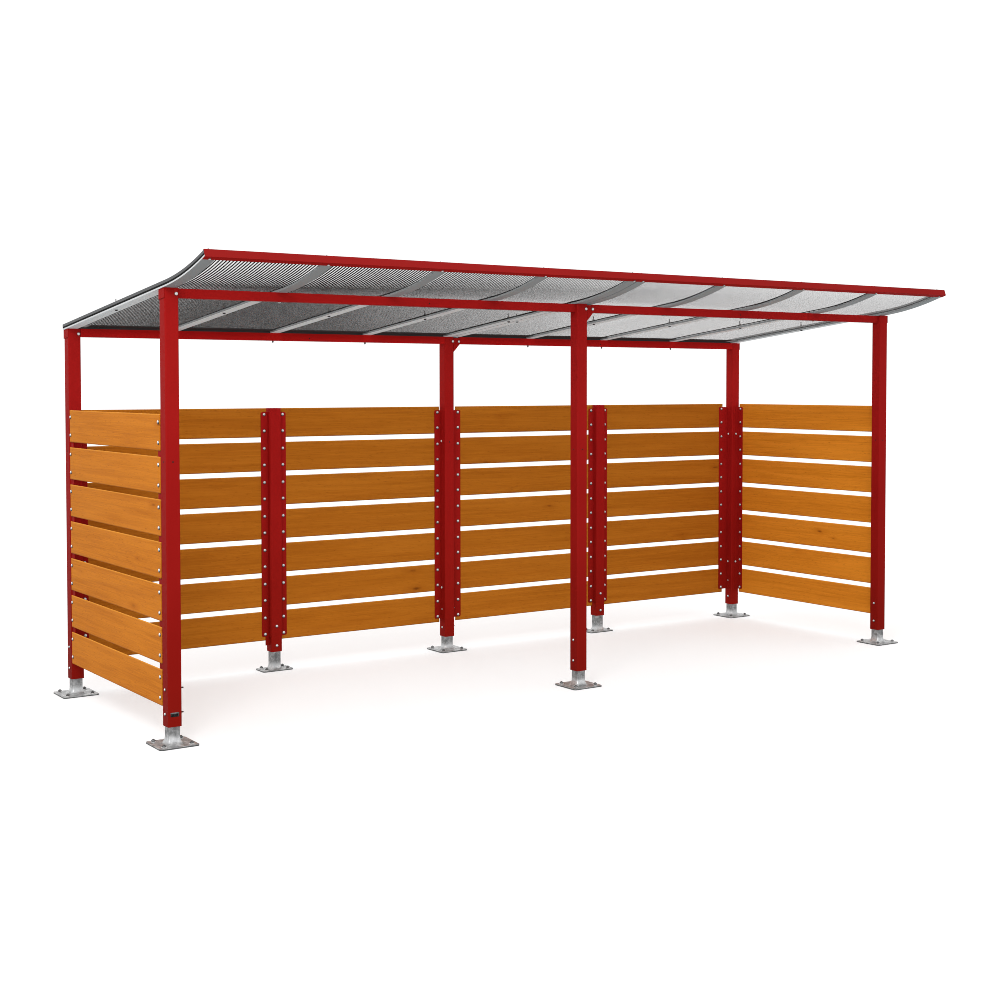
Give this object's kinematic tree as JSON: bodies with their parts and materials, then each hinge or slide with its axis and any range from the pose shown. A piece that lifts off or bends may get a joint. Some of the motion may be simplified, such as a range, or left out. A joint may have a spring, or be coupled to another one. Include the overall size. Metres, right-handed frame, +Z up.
{
  "type": "bike shelter",
  "caption": "Open bike shelter with square posts on bolted feet, horizontal board panels on the back and ends, and a translucent roof that curves up to a front lip channel",
  "frame": {"origin": "on the ground under the middle of the bounding box", "axes": "+X runs along the shelter to the right seen from the open front, +Y points to the closed back, +Z is up"},
  "size_m": [5.186, 2.0844, 2.3502],
  "materials": {
    "red_steel": "satin red powder coat",
    "zinc": "hot-dip galvanised",
    "board": "honey wood grain board",
    "aluminium": "plain mill finish",
    "seal": "black moulded seal",
    "sheet": "fluted translucent cellular sheet",
    "cover": "dark grey coated strip"
  },
  "bodies": {
    "root": {"post_front_left": "red_steel", "post_front_mid": "red_steel", "post_front_right": "red_steel", "post_back_left": "red_steel", "post_back_mid": "red_steel", "post_back_right": "red_steel", "post_short_left": "red_steel", "post_short_right": "red_steel", "foot_front_left": "zinc", "foot_front_mid": "zinc", "foot_front_right": "zinc", "foot_back_left": "zinc", "foot_back_mid": "zinc", "foot_back_right": "zinc", "foot_short_left": "zinc", "foot_short_right": "zinc", "beam_front_left": "red_steel", "beam_front_right": "red_steel", "beam_back_left": "red_steel", "beam_back_right": "red_steel", "gussets": "red_steel", "end_plates": "red_steel", "lip_left": "red_steel", "lip_right": "red_steel", "bracket_front_left": "red_steel", "bracket_front_right": "red_steel", "bracket_back_left": "red_steel", "bracket_back_mid": "red_steel", "bracket_back_right": "red_steel", "bracket_short_left": "red_steel", "bracket_short_right": "red_steel", "boards_left_end": "board", "boards_right_end": "board", "boards_back_1": "board", "boards_back_2": "board", "boards_back_3": "board", "boards_back_4": "board", "bars_left": "aluminium", "bars_joint": "aluminium", "bars_right": "aluminium", "seals": "seal", "sheets_left": "sheet", "sheets_right": "sheet", "covers": "cover"}
  },
  "joints": []
}
